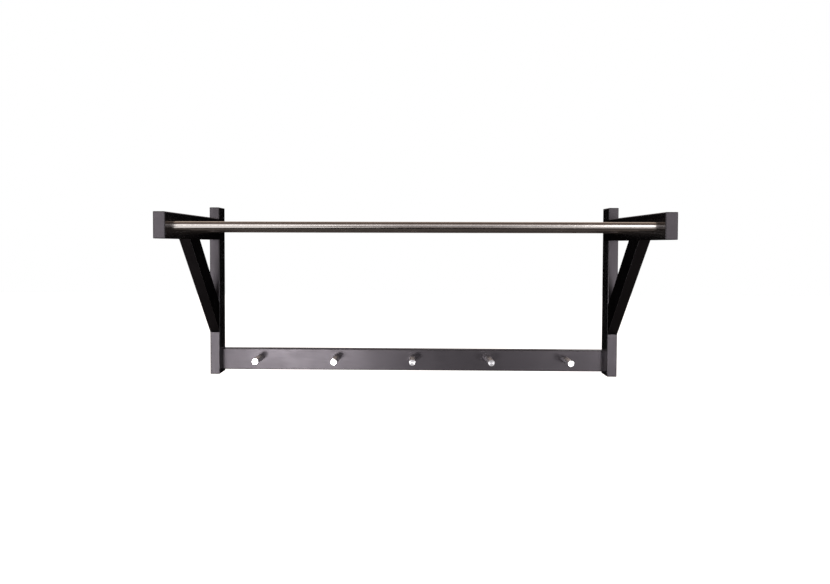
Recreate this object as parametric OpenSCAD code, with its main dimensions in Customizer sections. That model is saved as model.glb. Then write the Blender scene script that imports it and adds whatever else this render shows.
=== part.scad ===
// Wall rack for riding tack: two braced wooden brackets, a shelf of four round tubes
// and a rail with five pegs between the feet of the brackets.
// Frame: +X to the right, +Z up, the front faces -Y. The backs of the uprights lie in
// the plane Y = 0, which is the wall. The origin is midway between the two keyholes'
// entry holes, where the heads of the wall screws go in.

/* [Overall] */
// Width over both brackets
rack_w = 800; // [600:1:1000]
// Reach from the wall to the tips of the arms
rack_d = 345; // [320:1:420]
// Height of the uprights
rack_h = 330; // [310:1:420]

/* [Boards] */
// Thickness of the bracket boards and the rail
board_t = 19; // [16:1:22]
// Width of the uprights, the arms and the rail
board_w = 42; // [40:1:48]
// Width of the diagonal braces
brace_w = 42; // [30:1:46]
// Radius that eases the edges of the boards
ease_r = 1.5; // [0.5:0.1:2]
// Length of upright that stands above the arm
head_h = 22; // [12:1:40]
// Height of the rail above the feet of the uprights
rail_lift = 6; // [0:1:15]
// Leg of the triangle that the brace makes below the arm
brace_leg = 183; // [150:1:190]

/* [Shelf tubes] */
// Outside diameter of a tube
tube_d = 12.7; // [10:0.1:14]
// Wall thickness of a tube
tube_wall = 1.5; // [1:0.1:2]
// Distance of the first tube from the arm tips
front_inset = 28; // [20:0.5:36]
// Distance of the last tube from the wall
rear_inset = 34.5; // [25:0.5:36]
// Distance of the second tube from the wall, as a share of the reach
tube_2_share = 0.68; // [0.55:0.01:0.78]
// Distance of the third tube from the wall, as a share of the reach
tube_3_share = 0.35; // [0.25:0.01:0.45]
// Depth of the blind socket in the arm
socket_depth = 8; // [6:0.5:8]

/* [Pegs] */
// Diameter of a peg
peg_d = 12.7; // [10:0.1:16]
// Length of a peg in front of the rail
peg_l = 50; // [30:1:70]
// Height of the pegs above the middle of the rail
peg_rise = 3; // [-8:1:8]
// Chamfer round the face of a peg
peg_chamfer = 0.5; // [0.2:0.1:1]

/* [Hanger plates] */
// Width of a keyhole plate
plate_w = 13; // [12:0.5:14]
// Length of a keyhole plate
plate_l = 50; // [46:1:54]
// Thickness of a keyhole plate
plate_t = 1.5; // [1.2:0.1:2]
// Diameter of the entry hole for the head of the wall screw
entry_d = 9; // [8:0.1:9.5]
// Width of the slot that grips the neck of the wall screw
slot_w = 4.6; // [4:0.1:5]
// Rise of the slot above the entry hole
slot_rise = 9; // [7:0.5:10]

/* [Fixings] */
// Diameter of the machine screws
screw_d = 5; // [4:0.5:6]
// Diameter of the wooden dowels
dowel_d = 8; // [6:1:8]

/* [Hidden] */
$fn = 64;

black_lacquer = [0.07, 0.065, 0.07];
bright_steel = [0.78, 0.74, 0.70];
zinc = [0.72, 0.73, 0.74];
beech = [0.80, 0.64, 0.45];

eps = 0.01;                              // overrun that keeps cuts clean
fit_gap = 0.05;                          // radial clearance of a fixed fit
half_w = rack_w / 2;
inner_half = half_w - board_t;
inner_w = 2 * inner_half;
board_mid = half_w - board_t / 2;        // middle of a bracket's thickness
lap_t = board_t / 2;                     // each half of the lap joint

entry_drop = 6;                          // entry hole below the middle of the plate
plate_below_arm = 5;
plate_mid = entry_drop;
arm_bottom = plate_mid + plate_l / 2 + plate_below_arm;
arm_mid = arm_bottom + board_w / 2;
foot = arm_bottom + board_w + head_h - rack_h;
rail_bottom = foot + rail_lift;
rail_mid = rail_bottom + board_w / 2;

tube_y = [front_inset - rack_d, -tube_2_share * rack_d, -tube_3_share * rack_d, -rear_inset];
tied_tubes = [0, 3];                     // tubes that are screwed to the arms
tube_l = inner_w + 2 * socket_depth;
tube_bore = tube_d - 2 * tube_wall;
tube_chamfer = 0.4;
plug_l = 16;

peg_count = 5;
peg_pitch = inner_w / peg_count;
peg_thread_depth = 22;
peg_thread_l = 18;

head_d = 1.9 * screw_d;                  // countersunk head
hex_share = 0.6;                         // hexagon socket, as a share of the screw's diameter
hex_depth = 2;
tip_chamfer = 0.5;
tip_gap = 1;                             // left free beyond the tip of a screw in wood

rail_screw_l = 55;
dowel_l = 28;
dowel_in_board = 12;
rail_dowel_step = 12;                    // above and below the rail screw
brace_bottom = arm_bottom - brace_leg;
brace_run = brace_w * sqrt(2);           // length of a brace's mitred end

plate_screw_edge = 5;                    // from the end of the plate to a screw
plate_screw_gap = plate_l / 2 - plate_screw_edge;
plate_screw_d = 3.5;
plate_screw_l = 16;
plate_screw_head = plate_screw_d + 2 * plate_t;
plate_gap = 0.1;
pocket_gap = 1;
pocket_d = entry_d + pocket_gap;
pocket_depth = 7;

// A rectangle with rounded corners, its low corner at the origin
module rounded_rect(size, r) {
    translate([r, 0]) square([size.x - 2 * r, size.y]);
    translate([0, r]) square([size.x, size.y - 2 * r]);
    for (x = [r, size.x - r], y = [r, size.y - r])
        translate([x, y]) circle(r);
}

// A board with every edge eased, its low corner at the origin
module eased_board(size, r) {
    intersection() {
        linear_extrude(size.z) rounded_rect([size.x, size.y], r);
        translate([0, size.y, 0]) rotate([90, 0, 0])
            linear_extrude(size.y) rounded_rect([size.x, size.z], r);
        rotate([90, 0, 90]) linear_extrude(size.x) rounded_rect([size.y, size.z], r);
    }
}

// A cylinder along +X that starts at the origin
module rod_x(d, l) {
    rotate([0, 90, 0]) cylinder(d = d, h = l);
}

// A cylinder along -Y that starts at the origin
module rod_forward(d, l) {
    rotate([90, 0, 0]) cylinder(d = d, h = l);
}

// Clearance for a countersunk screw: its head is flush at Z = 0 and it points along +Z
module screw_cut(d, l, head) {
    translate([0, 0, -eps]) cylinder(d = d + 2 * fit_gap, h = l + eps);
    translate([0, 0, -eps])
        cylinder(d1 = head + 2 * (fit_gap + eps), d2 = d + 2 * fit_gap, h = (head - d) / 2 + eps);
}

// A countersunk screw with a hexagon socket, in the same position as screw_cut
module countersunk_screw(d, l, head) {
    difference() {
        union() {
            cylinder(d1 = head, d2 = d, h = (head - d) / 2);
            cylinder(d = d, h = l - tip_chamfer);
            translate([0, 0, l - tip_chamfer])
                cylinder(d1 = d, d2 = d - 2 * tip_chamfer, h = tip_chamfer);
        }
        translate([0, 0, -eps]) cylinder(d = hex_share * d, h = hex_depth + eps, $fn = 6);
    }
}

// A dowel with chamfered ends, along +Z from the origin
module dowel(l) {
    chamfer = 1;
    cylinder(d1 = dowel_d - 2 * chamfer, d2 = dowel_d, h = chamfer);
    translate([0, 0, chamfer]) cylinder(d = dowel_d, h = l - 2 * chamfer);
    translate([0, 0, l - chamfer]) cylinder(d1 = dowel_d, d2 = dowel_d - 2 * chamfer, h = chamfer);
}

// The right-hand bracket's pieces are modelled, and the left-hand ones are mirrored
module on_side(side) {
    if (side < 0) mirror([1, 0, 0]) children();
    else children();
}

module on_both_sides() {
    on_side(1) children();
    on_side(-1) children();
}

// Places that pieces and their holes share, on the right-hand side

module at_tube_screws() {
    for (i = tied_tubes) translate([half_w, tube_y[i], arm_mid]) rotate([0, -90, 0]) children();
}

module at_rail_screw() {
    translate([half_w, -board_t / 2, rail_mid]) rotate([0, -90, 0]) children();
}

module at_rail_dowels() {
    for (dz = [-1, 1])
        translate([inner_half + dowel_in_board, -board_t / 2, rail_mid + dz * rail_dowel_step])
            rotate([0, -90, 0]) children();
}

module at_brace_dowels() {
    translate([board_mid, -board_w - brace_leg + brace_run / 2, arm_bottom + dowel_in_board])
        rotate([180, 0, 0]) children();
    translate([board_mid, -board_w + dowel_in_board, brace_bottom + brace_run / 2])
        rotate([90, 0, 0]) children();
}

module at_plate_screws() {
    for (dz = [-plate_screw_gap, plate_screw_gap])
        translate([board_mid, 0, plate_mid + dz]) rotate([90, 0, 0]) children();
}

module dowel_hole() {
    translate([0, 0, -eps]) cylinder(d = dowel_d + 2 * fit_gap, h = dowel_l + 2 * eps);
}

// Outline of a keyhole, seen from the wall: the entry hole at the bottom, the slot above it
module keyhole(entry, slot) {
    translate([0, -entry_drop]) circle(d = entry);
    translate([-slot / 2, -entry_drop]) square([slot, slot_rise]);
    translate([0, slot_rise - entry_drop]) circle(d = slot);
}

// Outline of the plate, which has round ends
module plate_outline(grow) {
    r = plate_w / 2;
    run = plate_l / 2 - r;
    translate([-r - grow, -run]) square([plate_w + 2 * grow, 2 * run]);
    for (z = [-run, run]) translate([0, z]) circle(r + grow);
}

module at_plate() {
    translate([board_mid, 0, plate_mid]) rotate([90, 0, 0]) children();
}

module upright(side) {
    color(black_lacquer) on_side(side) difference() {
        translate([inner_half, -board_w, foot]) eased_board([board_t, board_w, rack_h], ease_r);
        // Housing for the arm's half of the lap joint
        translate([inner_half - eps, -board_w - eps, arm_bottom])
            cube([lap_t + eps, board_w + 2 * eps, board_w]);
        at_tube_screws() screw_cut(screw_d, board_t, head_d);
        at_rail_screw() screw_cut(screw_d, board_t + eps, head_d);
        at_rail_dowels() dowel_hole();
        at_brace_dowels() dowel_hole();
        at_plate_screws() screw_cut(plate_screw_d, plate_screw_l, plate_screw_head);
        at_plate() translate([0, 0, -eps]) linear_extrude(plate_t + eps) plate_outline(plate_gap);
        at_plate() linear_extrude(plate_t + pocket_depth) keyhole(pocket_d, pocket_d);
    }
}

module arm(side) {
    color(black_lacquer) on_side(side) difference() {
        union() {
            intersection() {
                translate([inner_half, -rack_d, arm_bottom])
                    eased_board([board_t, rack_d, board_w], ease_r);
                translate([inner_half - eps, -rack_d - eps, arm_bottom - eps])
                    cube([board_t + 2 * eps, rack_d - board_w + eps, board_w + 2 * eps]);
            }
            // Tongue that runs through to the wall in the upright's housing
            intersection() {
                translate([inner_half, -board_w, arm_bottom]) cube([lap_t, board_w, board_w]);
                translate([inner_half, -2 * board_w, arm_bottom])
                    linear_extrude(board_w) rounded_rect([board_t, 2 * board_w], ease_r);
            }
        }
        for (y = tube_y) translate([inner_half - eps, y, arm_mid])
            rod_x(tube_d + 2 * fit_gap, socket_depth + eps);
        at_tube_screws() screw_cut(screw_d, board_t, head_d);
        at_brace_dowels() dowel_hole();
    }
}

module brace(side) {
    overrun = board_w;
    color(black_lacquer) on_side(side) difference() {
        intersection() {
            translate([inner_half, -board_w, brace_bottom]) rotate([45, 0, 0])
                translate([0, 0, -overrun])
                    linear_extrude(brace_leg * sqrt(2) + 2 * overrun)
                        rounded_rect([board_t, brace_w], ease_r);
            translate([inner_half - eps, -board_w - brace_leg, brace_bottom])
                cube([board_t + 2 * eps, brace_leg, brace_leg]);
        }
        at_brace_dowels() dowel_hole();
    }
}

module at_peg(i) {
    translate([(i - (peg_count - 1) / 2) * peg_pitch, 0, rail_mid + peg_rise]) children();
}

module peg_rail() {
    color(black_lacquer) difference() {
        intersection() {
            translate([-inner_half - board_t, -board_t, rail_bottom])
                eased_board([inner_w + 2 * board_t, board_t, board_w], ease_r);
            translate([-inner_half, -board_t - eps, rail_bottom - eps])
                cube([inner_w, board_t + 2 * eps, board_w + 2 * eps]);
        }
        for (i = [0 : peg_count - 1])
            at_peg(i) rotate([90, 0, 0]) screw_cut(screw_d, board_t + eps, head_d);
        on_both_sides() {
            at_rail_screw() screw_cut(screw_d, rail_screw_l, head_d);
            at_rail_dowels() dowel_hole();
        }
    }
}

module shelf_tube(i) {
    color(bright_steel) translate([-tube_l / 2, tube_y[i], arm_mid]) rotate([0, 90, 0]) difference() {
        union() {
            cylinder(d1 = tube_d - 2 * tube_chamfer, d2 = tube_d, h = tube_chamfer);
            translate([0, 0, tube_chamfer]) cylinder(d = tube_d, h = tube_l - 2 * tube_chamfer);
            translate([0, 0, tube_l - tube_chamfer])
                cylinder(d1 = tube_d, d2 = tube_d - 2 * tube_chamfer, h = tube_chamfer);
        }
        translate([0, 0, -eps]) cylinder(d = tube_bore, h = tube_l + 2 * eps);
    }
}

module tube_plugs() {
    color(zinc) on_both_sides() for (i = tied_tubes)
        translate([inner_half + socket_depth - plug_l, tube_y[i], arm_mid]) difference() {
            rod_x(tube_bore - 2 * fit_gap, plug_l);
            translate([-eps, 0, 0]) rod_x(screw_d + 2 * fit_gap, plug_l + 2 * eps);
        }
}

module tube_screws() {
    color(zinc) on_both_sides() at_tube_screws()
        countersunk_screw(screw_d, board_t + plug_l / 2, head_d);
}

// A peg: plain bar, flat on the rail at one end, with a chamfered face at the other
module peg(i) {
    color(bright_steel) at_peg(i) translate([0, -board_t, 0]) difference() {
        union() {
            rod_forward(peg_d, peg_l - peg_chamfer);
            translate([0, peg_chamfer - peg_l, 0]) rotate([90, 0, 0])
                cylinder(d1 = peg_d, d2 = peg_d - 2 * peg_chamfer, h = peg_chamfer);
        }
        translate([0, eps, 0]) rod_forward(screw_d + 2 * fit_gap, peg_thread_depth + eps);
    }
}

module peg_screws() {
    color(zinc) for (i = [0 : peg_count - 1])
        at_peg(i) rotate([90, 0, 0])
            countersunk_screw(screw_d, board_t + peg_thread_l, head_d);
}

module rail_screws() {
    color(zinc) on_both_sides() at_rail_screw()
        countersunk_screw(screw_d, rail_screw_l - tip_gap, head_d);
}

module rail_dowels() {
    color(beech) on_both_sides() at_rail_dowels() dowel(dowel_l);
}

module brace_dowels() {
    color(beech) on_both_sides() at_brace_dowels() dowel(dowel_l);
}

module hanger_plate(side) {
    color(zinc) on_side(side) difference() {
        at_plate() linear_extrude(plate_t) difference() {
            plate_outline(0);
            keyhole(entry_d, slot_w);
        }
        at_plate_screws() screw_cut(plate_screw_d, plate_screw_l, plate_screw_head);
    }
}

module hanger_screws() {
    color(zinc) on_both_sides() at_plate_screws()
        countersunk_screw(plate_screw_d, plate_screw_l - tip_gap, plate_screw_head);
}

upright(-1);  // left_upright
upright(1);  // right_upright
arm(-1);  // left_arm
arm(1);  // right_arm
brace(-1);  // left_brace
brace(1);  // right_brace
peg_rail();
shelf_tube(0);  // shelf_tube_1
shelf_tube(1);  // shelf_tube_2
shelf_tube(2);  // shelf_tube_3
shelf_tube(3);  // shelf_tube_4
peg(0);  // peg_1
peg(1);  // peg_2
peg(2);  // peg_3
peg(3);  // peg_4
peg(4);  // peg_5
peg_screws();
rail_screws();
rail_dowels();
brace_dowels();
tube_plugs();
tube_screws();
hanger_plate(-1);  // left_hanger_plate
hanger_plate(1);  // right_hanger_plate
hanger_screws();
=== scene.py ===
"""Looks for the wall rack: satin black lacquered wood, drawn steel tubes and turned steel pegs."""
import math

import bpy
from mathutils import Matrix, Vector

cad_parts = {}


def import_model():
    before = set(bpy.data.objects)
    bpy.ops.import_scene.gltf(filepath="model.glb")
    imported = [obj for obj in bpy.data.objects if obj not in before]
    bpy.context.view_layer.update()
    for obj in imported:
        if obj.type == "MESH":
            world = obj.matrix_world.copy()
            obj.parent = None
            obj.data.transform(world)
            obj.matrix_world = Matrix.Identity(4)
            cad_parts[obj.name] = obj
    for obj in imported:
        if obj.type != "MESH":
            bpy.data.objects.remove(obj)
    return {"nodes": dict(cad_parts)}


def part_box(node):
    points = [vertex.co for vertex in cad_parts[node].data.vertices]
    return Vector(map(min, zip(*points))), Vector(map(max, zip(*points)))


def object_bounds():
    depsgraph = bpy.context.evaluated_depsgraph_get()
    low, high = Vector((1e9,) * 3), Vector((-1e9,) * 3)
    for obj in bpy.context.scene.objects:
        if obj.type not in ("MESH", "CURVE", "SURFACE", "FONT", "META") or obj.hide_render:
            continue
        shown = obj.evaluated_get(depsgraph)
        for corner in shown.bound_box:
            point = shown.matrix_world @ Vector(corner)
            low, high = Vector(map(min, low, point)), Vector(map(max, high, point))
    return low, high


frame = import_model()
cad_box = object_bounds()
nodes = frame["nodes"]

MM = 0.001


# ---------------------------------------------------------------- node helpers

class Nodes:
    """A short way to add and link the shader nodes of a material or a world."""

    def __init__(self, owner):
        owner.use_nodes = True
        self.tree = owner.node_tree
        self.tree.nodes.clear()

    def add(self, kind, **settings):
        node = self.tree.nodes.new(kind)
        for key, value in settings.items():
            setattr(node, key, value)
        return node

    def link(self, a, b):
        self.tree.links.new(a, b)

    def feed(self, socket, value):
        """Link the value to the socket if it is a socket itself, or else type it in."""
        if isinstance(value, bpy.types.NodeSocket):
            self.link(value, socket)
        else:
            socket.default_value = value

    def set(self, node, **values):
        for key, value in values.items():
            self.feed(node.inputs[key.replace("_", " ")], value)
        return node

    def position(self, scale):
        """Object position, stretched by scale along each axis."""
        place = self.add("ShaderNodeTexCoord")
        mapping = self.set(self.add("ShaderNodeMapping"), Scale=scale)
        self.link(place.outputs["Object"], mapping.inputs["Vector"])
        return mapping.outputs["Vector"]

    def noise(self, vector, scale, detail=2.0, roughness=0.5):
        node = self.add("ShaderNodeTexNoise")
        self.set(node, Vector=vector, Scale=scale, Detail=detail, Roughness=roughness)
        return node.outputs["Fac"]

    def ramp(self, value, low, high, out_low=0.0, out_high=1.0):
        node = self.add("ShaderNodeMapRange")
        self.set(node, Value=value, From_Min=low, From_Max=high, To_Min=out_low, To_Max=out_high)
        return node.outputs["Result"]

    def math(self, operation, a, b=0.0):
        node = self.add("ShaderNodeMath", operation=operation)
        self.feed(node.inputs[0], a)
        self.feed(node.inputs[1], b)
        return node.outputs["Value"]

    def mix(self, factor, a, b):
        """Blend two colours. The mix node keeps its colour sockets at places 6 and 7."""
        node = self.add("ShaderNodeMix", data_type="RGBA")
        for place, value in ((0, factor), (6, a), (7, b)):
            self.feed(node.inputs[place], value)
        return node.outputs[2]

    def mix_vector(self, factor, a, b):
        """Blend two vectors. The mix node keeps its vector sockets at places 4 and 5."""
        node = self.add("ShaderNodeMix", data_type="VECTOR")
        for place, value in ((0, factor), (4, a), (5, b)):
            self.feed(node.inputs[place], value)
        return node.outputs[1]

    def vector(self, operation, a, b=(0, 0, 0)):
        node = self.add("ShaderNodeVectorMath", operation=operation)
        self.feed(node.inputs[0], a)
        self.feed(node.inputs[1], b)
        return node.outputs["Value" if operation == "LENGTH" else "Vector"]

    def bump(self, height, strength, distance):
        node = self.set(self.add("ShaderNodeBump"), Height=height, Strength=strength, Distance=distance)
        return node.outputs["Normal"]


class Material(Nodes):
    """A new material with one Principled surface."""

    def __init__(self, name):
        self.data = bpy.data.materials.new(name)
        super().__init__(self.data)
        out = self.add("ShaderNodeOutputMaterial")
        self.surface = self.add("ShaderNodeBsdfPrincipled")
        self.link(self.surface.outputs["BSDF"], out.inputs["Surface"])


# ---------------------------------------------------------------- materials

def black_lacquer(name, grain_scale):
    """Satin black lacquer over wood. The grain runs along the axis that grain_scale shrinks."""
    n = Material(name)
    along = n.position(grain_scale)
    plain = n.position((1, 1, 1))
    pores = n.noise(along, 900, 3, 0.6)
    figure = n.noise(along, 120, 4, 0.55)
    dust = n.noise(plain, 2200, 1)
    orange_peel = n.noise(plain, 260, 1)
    patches = n.noise(plain, 22, 3)
    tint = n.mix(n.ramp(figure, 0.35, 0.65), (0.0014, 0.0012, 0.0014, 1), (0.0028, 0.0024, 0.0028, 1))
    rough = n.math("ADD", n.ramp(pores, 0.3, 0.7, 0.30, 0.36), n.ramp(dust, 0.45, 0.75, 0.0, 0.05))
    rough = n.math("ADD", rough, n.ramp(patches, 0.35, 0.65, -0.02, 0.03))
    # Lacquer looks smoother at a glancing angle
    glancing = n.add("ShaderNodeLayerWeight").outputs["Facing"]
    rough = n.math("MULTIPLY", rough, n.ramp(glancing, 0.35, 0.75, 1.0, 0.45))
    relief = n.math("ADD", n.ramp(pores, 0.35, 0.6), n.math("MULTIPLY", orange_peel, 0.8))
    n.set(n.surface, Base_Color=tint, Roughness=rough, Normal=n.bump(relief, 0.12, 0.05 * MM),
          Specular_IOR_Level=0.62, Specular_Tint=(1.0, 0.90, 0.99, 1))
    return n.data


def brushed_tube(name, tint, dark_tint, roughness, anisotropy):
    """Bright tube, polished round and round on a belt. Fine rings spread a highlight along X."""
    n = Material(name)
    rings = n.noise(n.position((1, 0.02, 0.02)), 1800, 2, 0.6)
    clouds = n.noise(n.position((1, 1, 1)), 25, 3)
    colour = n.mix(n.ramp(clouds, 0.3, 0.7), dark_tint, tint)
    rough = n.math("ADD", n.ramp(rings, 0.3, 0.7, roughness - 0.03, roughness + 0.04),
                   n.ramp(clouds, 0.4, 0.7, 0.0, 0.03))
    n.set(n.surface, Base_Color=colour, Metallic=1.0, Roughness=rough, Anisotropic=anisotropy,
          Tangent=(1, 0, 0), Normal=n.bump(rings, 0.03, 0.02 * MM))
    return n.data


def turned_steel(name, tint, dark_tint, roughness, anisotropy):
    """Turned bar along Y. Tool marks ring the body and the face, about the object's "centre" property."""
    n = Material(name)
    geometry = n.add("ShaderNodeNewGeometry")
    centre = n.add("ShaderNodeAttribute", attribute_type="OBJECT", attribute_name="centre")
    offset = n.vector("SUBTRACT", geometry.outputs["Position"], centre.outputs["Vector"])
    across = n.vector("MULTIPLY", offset, (1, 0, 1))
    radius = n.vector("LENGTH", across)
    depth = n.add("ShaderNodeSeparateXYZ")
    n.link(offset, depth.inputs["Vector"])
    facing = n.add("ShaderNodeSeparateXYZ")
    n.link(geometry.outputs["Normal"], facing.inputs["Vector"])
    is_face = n.math("GREATER_THAN", n.math("ABSOLUTE", facing.outputs["Y"]), 0.7)
    path = n.add("ShaderNodeCombineXYZ")
    n.link(n.math("ADD", radius, depth.outputs["Y"]), path.inputs["X"])
    rings = n.noise(path.outputs["Vector"], 3500, 2, 0.7)
    clouds = n.noise(n.position((1, 1, 1)), 160, 2)
    colour = n.mix(n.ramp(clouds, 0.3, 0.7), dark_tint, tint)
    rough = n.ramp(rings, 0.3, 0.7, roughness - 0.04, roughness + 0.05)
    tangent = n.mix_vector(is_face, (0, 1, 0), n.vector("NORMALIZE", across))
    n.set(n.surface, Base_Color=colour, Metallic=1.0, Roughness=rough, Anisotropic=anisotropy,
          Tangent=tangent, Normal=n.bump(rings, 0.15, 0.03 * MM))
    return n.data


def zinc_plate(name):
    """Bright zinc plating with a faint spangle."""
    n = Material(name)
    spangle = n.noise(n.position((1, 1, 1)), 700, 3, 0.6)
    colour = n.mix(n.ramp(spangle, 0.35, 0.65), (0.42, 0.43, 0.46, 1), (0.62, 0.63, 0.66, 1))
    n.set(n.surface, Base_Color=colour, Metallic=1.0, Roughness=n.ramp(spangle, 0.3, 0.7, 0.25, 0.42),
          Normal=n.bump(spangle, 0.1, 0.02 * MM))
    return n.data


def beech(name):
    """Raw beech, with the grain along X."""
    n = Material(name)
    grain = n.noise(n.position((0.1, 1, 1)), 400, 3)
    colour = n.mix(n.ramp(grain, 0.3, 0.7), (0.45, 0.28, 0.14, 1), (0.62, 0.42, 0.24, 1))
    n.set(n.surface, Base_Color=colour, Roughness=0.7, Normal=n.bump(grain, 0.3, 0.1 * MM))
    return n.data


# Grain follows the long axis of each board, so that axis is shrunk
BOARD_GRAIN = {
    "upright": (1, 1, 0.03),
    "arm": (1, 0.03, 1),
    "rail": (0.03, 1, 1),
    "brace": (1, 0.2, 0.2),
}
LACQUER = {part: black_lacquer("black_lacquer_" + part, scale) for part, scale in BOARD_GRAIN.items()}
TUBE_STEEL = brushed_tube("tube_steel", (0.69, 0.65, 0.62, 1), (0.63, 0.59, 0.56, 1), 0.2, 0.3)
PEG_STEEL = turned_steel("peg_steel", (0.72, 0.71, 0.72, 1), (0.64, 0.63, 0.64, 1), 0.26, 0.6)
ZINC = zinc_plate("zinc_plate")
BEECH = beech("beech")


def is_peg(name):
    """The pegs are peg_1 and so on. The peg rail and the peg screws aren't pegs."""
    return name.startswith("peg_") and name[4:].isdigit()


def finish_for(name):
    """The material of a node, from its name."""
    if is_peg(name):
        return PEG_STEEL
    if name.startswith("shelf_tube"):
        return TUBE_STEEL
    if name.endswith("dowels"):
        return BEECH
    for part, material in LACQUER.items():
        if name.endswith(part):
            return material
    return ZINC


for name, node in nodes.items():
    node.data.materials.clear()
    node.data.materials.append(finish_for(name))
    if is_peg(name):
        low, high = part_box(name)
        node["centre"] = list((low + high) / 2)


# ---------------------------------------------------------------- stage

def leave_out(name, parts):
    """A light linked to this collection lights everything but these parts."""
    group = bpy.data.collections.new(name)
    for part in parts:
        group.objects.link(nodes[part])
    for member in group.collection_objects:
        member.light_linking.link_state = "EXCLUDE"
    return group


def softbox(name, place, target, size, radiance, lit=None):
    """A rectangular light of the given radiance, hidden from the camera."""
    light = bpy.data.lights.new(name, "AREA")
    light.shape = "RECTANGLE"
    light.size, light.size_y = size
    light.energy = radiance * size[0] * size[1] * math.pi
    obj = bpy.data.objects.new(name, light)
    obj.location = place
    obj.rotation_mode = "QUATERNION"
    obj.rotation_quaternion = (Vector(target) - Vector(place)).to_track_quat("-Z", "Y")
    obj.visible_camera = False
    obj.light_linking.receiver_collection = lit
    bpy.context.scene.collection.objects.link(obj)


def floor(height):
    """A pale floor, far enough down for a rack that hangs at head height. It looks white to the camera."""
    size = 20.0
    mesh = bpy.data.meshes.new("floor")
    corners = [(-size, -size, height), (size, -size, height), (size, size, height), (-size, size, height)]
    mesh.from_pydata(corners, [], [(0, 1, 2, 3)])
    obj = bpy.data.objects.new("floor", mesh)
    n = Material("pale_floor")
    speck = n.noise(n.position((1, 1, 1)), 40, 3)
    seen = n.add("ShaderNodeLightPath").outputs["Is Camera Ray"]
    n.set(n.surface, Base_Color=n.mix(speck, (0.78, 0.77, 0.76, 1), (0.82, 0.81, 0.80, 1)), Roughness=0.9,
          Emission_Color=(1, 1, 1, 1), Emission_Strength=seen)
    obj.data.materials.append(n.data)
    obj.visible_diffuse = False
    obj.visible_glossy = False
    bpy.context.scene.collection.objects.link(obj)


def sky_bands(n, height, bands):
    """Colours from straight down to straight up. Each band is (sine of the elevation, colour)."""
    ramp = n.add("ShaderNodeValToRGB")
    ramp.color_ramp.interpolation = "EASE"
    elements = ramp.color_ramp.elements
    while len(elements) < len(bands):
        elements.new(0.5)
    for element, (sine, colour) in zip(elements, bands):
        element.position = (sine + 1) / 2
        element.color = (*colour, 1)
    n.link(n.ramp(height, -1, 1), ramp.inputs["Fac"])
    return ramp.outputs["Color"]


def world(front, behind):
    """White to the camera. Reflections and soft light see the two banded halves of a studio."""
    studio = bpy.data.worlds.new("studio")
    n = Nodes(studio)
    out = n.add("ShaderNodeOutputWorld")
    axes = n.add("ShaderNodeSeparateXYZ")
    n.link(n.add("ShaderNodeTexCoord").outputs["Generated"], axes.inputs["Vector"])
    height = axes.outputs["Z"]
    is_behind = n.ramp(axes.outputs["Y"], -0.3, 0.1)
    room = n.mix(is_behind, sky_bands(n, height, front), sky_bands(n, height, behind))
    seen = n.add("ShaderNodeLightPath").outputs["Is Camera Ray"]
    background = n.set(n.add("ShaderNodeBackground"), Color=n.mix(seen, room, (1, 1, 1, 1)))
    n.link(background.outputs["Background"], out.inputs["Surface"])
    bpy.context.scene.world = studio


def camera(foot):
    """A nearly level view from the front, a little below the arms."""
    data = bpy.data.cameras.new("camera")
    data.sensor_width = 36
    data.lens = 30.24
    data.shift_x = 0.025
    data.shift_y = -0.031
    obj = bpy.data.objects.new("camera", data)
    yaw, pitch, roll = (math.radians(a) for a in (1.38, -1.79, 0.16))
    turn = Matrix.Rotation(yaw, 4, "Z") @ Matrix.Rotation(pitch, 4, "X") @ Matrix.Rotation(-roll, 4, "Y")
    place = Matrix.Translation((-0.0029, -1.4082, foot + 0.2578))
    obj.matrix_world = place @ turn @ Matrix.Rotation(math.pi / 2, 4, "X")
    bpy.context.scene.collection.objects.link(obj)
    bpy.context.scene.camera = obj


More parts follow.
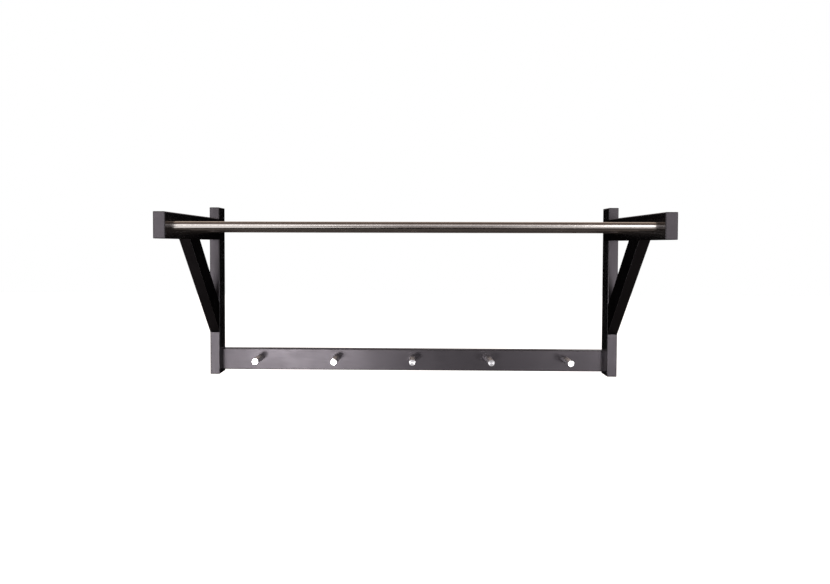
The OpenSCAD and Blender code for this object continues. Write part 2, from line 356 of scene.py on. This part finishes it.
# The studio's glow as (sine of the elevation, colour), on the camera's side and behind the rack
IN_FRONT = [(-1, (0.02, 0.02, 0.02)), (-0.88, (0.04, 0.03, 0.03)), (-0.6, (0.28, 0.23, 0.21)),
            (-0.42, (0.20, 0.18, 0.17)), (-0.2, (0.46, 0.46, 0.50)), (0.05, (0.18, 0.16, 0.16)),
            (0.36, (1.25, 1.20, 1.20)), (0.6, (0.14, 0.11, 0.10)), (0.8, (0.20, 0.16, 0.14)),
            (1, (0.08, 0.06, 0.05))]
BEHIND = [(-1, (0.02, 0.02, 0.02)), (-0.85, (0.12, 0.10, 0.09)), (-0.5, (0.12, 0.10, 0.09)),
          (-0.25, (0.0, 0.0, 0.0)), (0.05, (0.0, 0.0, 0.0)), (0.18, (0.26, 0.23, 0.25)),
          (0.45, (0.56, 0.47, 0.41)), (0.77, (0.74, 0.60, 0.50)), (1, (0.08, 0.06, 0.05))]

foot = cad_box[0].z
middle = (0, 0, foot + 0.1)
floor(foot - 1.3)
world(IN_FRONT, BEHIND)
# The rail wants small strong boxes, which would burn out the tubes and the arms' inner faces
tubes = [name for name in nodes if name.startswith("shelf_tube")]
arms = [name for name in nodes if name.endswith(("arm", "brace"))]
rail_light = leave_out("rail_light", tubes + arms)
wood_light = leave_out("wood_light", tubes)
softbox("low_left_box", (-0.53, -1.9, foot - 0.21), middle, (0.42, 0.16), 57, rail_light)
softbox("low_right_box", (0.9, -1.9, foot - 0.18), middle, (0.3, 0.16), 19, rail_light)
softbox("tall_left_box", (-0.98, -1.9, foot + 0.05), middle, (0.7, 1.0), 2.4, wood_light)
softbox("tall_right_box", (1.15, -1.9, foot + 0.4), middle, (0.8, 1.2), 2.7)
softbox("tube_left_box", (-0.75, -1.9, foot + 0.4), middle, (1.1, 0.4), 2.3)
softbox("left_fill", (-0.75, -1.2, foot - 0.7), middle, (1.1, 1.3), 0.95)
softbox("right_fill", (0.85, -1.45, foot - 0.5), middle, (0.9, 1.6), 0.5)
for side in (-1, 1):
    softbox("side_box", (2.4 * side, 0.1, foot + 0.5), middle, (1.2, 1.0), 1.4)
    softbox("back_box", (1.1 * side, 2.2, foot - 0.1), middle, (0.7, 0.9), 0.8, rail_light)
    softbox("corner_box", (1.9 * side, 1.6, foot - 0.2), middle, (0.9, 1.0), 1.4, wood_light)
camera(foot)
bpy.context.scene.view_settings.view_transform = "Standard"
